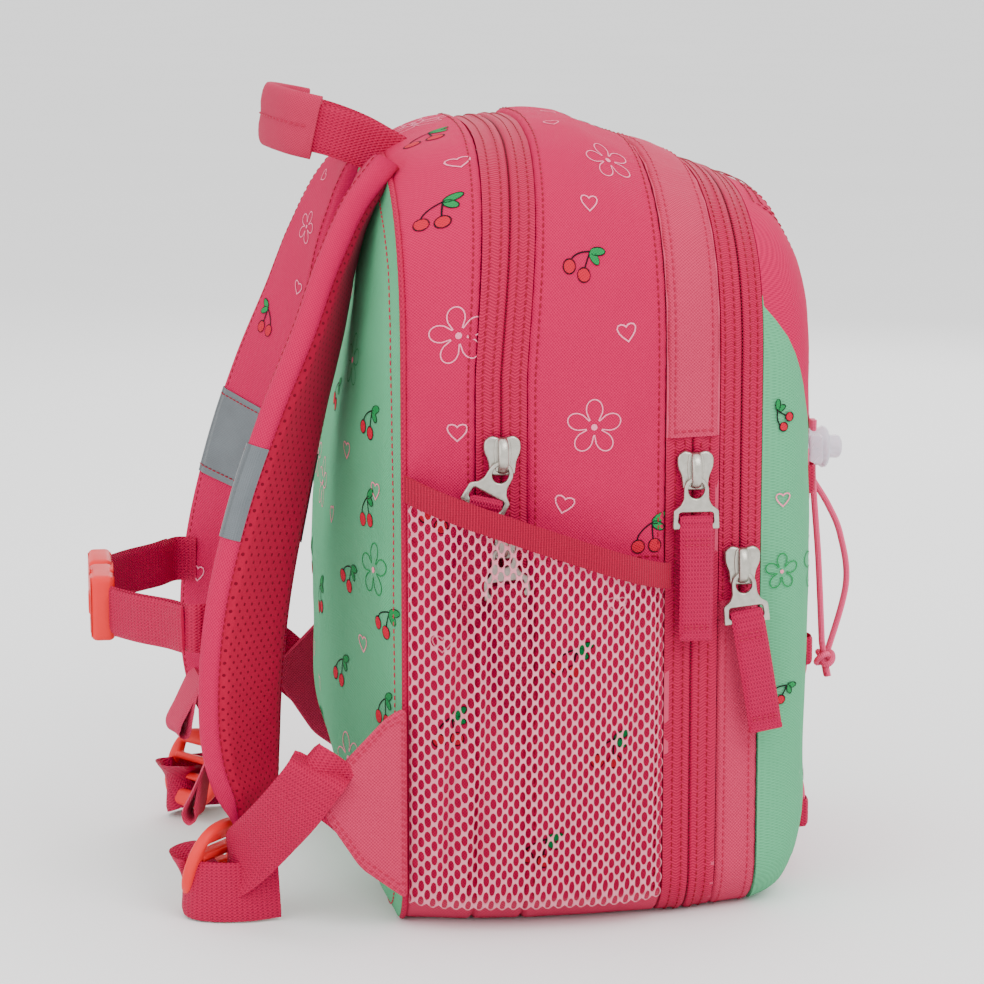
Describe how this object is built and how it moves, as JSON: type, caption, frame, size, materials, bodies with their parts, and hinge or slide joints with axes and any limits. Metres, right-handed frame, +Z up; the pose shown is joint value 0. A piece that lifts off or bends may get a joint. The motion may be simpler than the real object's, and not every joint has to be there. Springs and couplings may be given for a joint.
{
  "type": "school backpack",
  "caption": "Soft zipped school backpack with padded back, laced front pocket, side mesh pockets, shoulder straps with a buckled chest strap and a carry handle",
  "frame": {"origin": "On the floor plane, under the middle of the bag's base between its sides, level with the main zip along the depth", "axes": "+Z up, the bag's front pocket faces -Y, the wearer's back is at +Y, the wearer's left is at -X"},
  "size_m": [0.2688, 0.3305, 0.3372],
  "materials": {
    "print_fabric": "printed polyester canvas, light sheen",
    "mint_fabric": "printed polyester canvas, padded",
    "rose_canvas": "two-tone polyester canvas",
    "zip_tape": "herringbone zip tape with reverse coil",
    "webbing": "ribbed polyester webbing",
    "pull_tape": "woven pull tape",
    "elastic_rim": "woven elastic binding",
    "netting": "knitted mesh",
    "handle_fabric": "folded canvas sleeve",
    "elastic_cord": "braided elastic cord",
    "strap_foam": "foam faced with air mesh",
    "reflective_fabric": "grey reflective fabric",
    "salmon_plastic": "moulded acetal, satin",
    "clear_plastic": "translucent moulded plastic",
    "nickel": "satin nickel die casting",
    "spring_wire": "drawn steel wire",
    "stiffener_board": "thin extruded sheet"
  },
  "bodies": {
    "bag": {"back_panel": "mint_fabric", "back_stiffener": "stiffener_board", "rear_gusset": "print_fabric", "main_zip_tape": "zip_tape", "base_gusset": "print_fabric", "front_gusset": "print_fabric", "divider_panel": "print_fabric", "middle_gusset": "rose_canvas", "middle_zip_tape": "zip_tape", "middle_panel": "print_fabric", "pocket_zip_tape": "zip_tape", "front_lower_gusset": "rose_canvas", "front_pocket_wall": "mint_fabric", "mesh_pocket_left": "netting", "mesh_pocket_right": "netting", "mesh_pocket_rim_left": "elastic_rim", "mesh_pocket_rim_right": "elastic_rim", "strap_wing_left": "rose_canvas", "strap_wing_right": "rose_canvas", "lower_webbing_left": "webbing", "lower_webbing_right": "webbing", "lace_tab_upper": "webbing", "lace_tab_middle": "webbing", "lace_tab_lower": "webbing", "lace_cord": "elastic_cord", "cord_tail_inner": "elastic_cord", "cord_tail_outer": "elastic_cord"},
    "pocket_flap": {"front_pocket_flap": "mint_fabric", "pocket_zip_flap_tape": "zip_tape"},
    "handle": {"carry_handle": "webbing", "handle_cover": "handle_fabric"},
    "left_strap": {"left_strap_foam": "strap_foam", "left_strap_cover": "print_fabric", "left_strap_reflector": "reflective_fabric", "left_strap_tab": "rose_canvas", "chest_webbing_left": "webbing", "chest_buckle_female": "salmon_plastic"},
    "right_strap": {"right_strap_foam": "strap_foam", "right_strap_cover": "print_fabric", "right_strap_reflector": "reflective_fabric", "right_strap_tab": "rose_canvas", "chest_webbing_right": "webbing"},
    "buckle_plug": {"chest_buckle_male": "salmon_plastic"},
    "left_ladder_lock": {"ladder_lock_left": "salmon_plastic"},
    "right_ladder_lock": {"ladder_lock_right": "salmon_plastic"},
    "main_upper_slider": {"main_upper_zip_slider": "nickel"},
    "main_upper_pull": {"main_upper_zip_pull": "nickel", "main_upper_pull_tape": "pull_tape"},
    "main_lower_slider": {"main_lower_zip_slider": "nickel"},
    "main_lower_pull": {"main_lower_zip_pull": "nickel", "main_lower_pull_tape": "pull_tape"},
    "middle_slider": {"middle_zip_slider": "nickel"},
    "middle_pull": {"middle_zip_pull": "nickel", "middle_pull_tape": "pull_tape"},
    "pocket_slider": {"pocket_zip_slider": "nickel"},
    "pocket_pull": {"pocket_zip_pull": "nickel", "pocket_pull_tape": "pull_tape"},
    "cord_lock": {"cord_lock_body": "clear_plastic", "cord_lock_spring": "spring_wire"},
    "cord_plunger": {"cord_lock_plunger": "clear_plastic"}
  },
  "joints": [
    {"name": "pocket_flap_fold", "type": "hinge", "parent": "bag", "child": "pocket_flap", "pos_m": [0, -0.124, 0.19], "axis": [1, 0, 0], "range_deg": [0, 55]},
    {"name": "handle_fold", "type": "hinge", "parent": "bag", "child": "handle", "pos_m": [0, 0.051, 0.32], "axis": [1, 0, 0], "range_deg": [-10, 110]},
    {"name": "left_strap_swing", "type": "hinge", "parent": "bag", "child": "left_strap", "pos_m": [-0.044, 0.057, 0.3], "axis": [1, 0, 0], "range_deg": [-2, 50], "deforming": ["lower_webbing_left"]},
    {"name": "right_strap_swing", "type": "hinge", "parent": "bag", "child": "right_strap", "pos_m": [0.044, 0.057, 0.3], "axis": [1, 0, 0], "range_deg": [-2, 50], "deforming": ["lower_webbing_right"]},
    {"name": "buckle_release", "type": "slide", "parent": "right_strap", "child": "buckle_plug", "axis": [1, 0, 0], "range_m": [0, 0.022], "deforming": ["chest_webbing_right"]},
    {"name": "left_ladder_lock_tilt", "type": "hinge", "parent": "left_strap", "child": "left_ladder_lock", "pos_m": [-0.071, 0.131, 0.041], "axis": [1, 0, 0], "range_deg": [-8, 20]},
    {"name": "right_ladder_lock_tilt", "type": "hinge", "parent": "right_strap", "child": "right_ladder_lock", "pos_m": [0.071, 0.131, 0.041], "axis": [1, 0, 0], "range_deg": [-8, 20]},
    {"name": "main_upper_zip_slide", "type": "slide", "parent": "bag", "child": "main_upper_slider", "axis": [0, 0, 1], "range_m": [0, 0.027]},
    {"name": "main_upper_pull_swing", "type": "hinge", "parent": "main_upper_slider", "child": "main_upper_pull", "pos_m": [-0.1204, 0.0114, 0.19201], "axis": [0, 0.866, 0.5], "range_deg": [0, 95], "deforming": ["main_upper_pull_tape"]},
    {"name": "main_lower_zip_slide", "type": "slide", "parent": "bag", "child": "main_lower_slider", "axis": [0, 0, -1], "range_m": [0, 0.005]},
    {"name": "main_lower_pull_swing", "type": "hinge", "parent": "main_lower_slider", "child": "main_lower_pull", "pos_m": [-0.1204, 0.01273, 0.15879], "axis": [0, 0.9945, -0.1045], "range_deg": [0, 8], "deforming": ["main_lower_pull_tape"]},
    {"name": "middle_zip_slide", "type": "slide", "parent": "bag", "child": "middle_slider", "axis": [0, 0, -1], "range_m": [0, 0.11]},
    {"name": "middle_pull_swing", "type": "hinge", "parent": "middle_slider", "child": "middle_pull", "pos_m": [-0.11582, -0.0658, 0.1838], "axis": [0, 1, 0], "range_deg": [0, 140]},
    {"name": "pocket_zip_slide", "type": "slide", "parent": "bag", "child": "pocket_slider", "axis": [0, 0, 1], "range_m": [0, 0.07]},
    {"name": "pocket_pull_swing", "type": "hinge", "parent": "pocket_slider", "child": "pocket_pull", "pos_m": [-0.11093, -0.08617, 0.14379], "axis": [0, 0.9945, -0.1045], "range_deg": [0, 140]},
    {"name": "cord_lock_slide", "type": "slide", "parent": "bag", "child": "cord_lock", "axis": [0, 0, -1], "range_m": [0, 0.03], "deforming": ["cord_tail_inner", "cord_tail_outer"]},
    {"name": "cord_plunger_press", "type": "slide", "parent": "cord_lock", "child": "cord_plunger", "axis": [0, 1, 0], "range_m": [0, 0.003], "stiffness_N_per_m": 300, "springref_m": -0.004, "deforming": ["cord_lock_spring"]}
  ],
  "couplings": [
    {"joint": "right_strap_swing", "follows": "left_strap_swing", "ratio": 1}
  ]
}
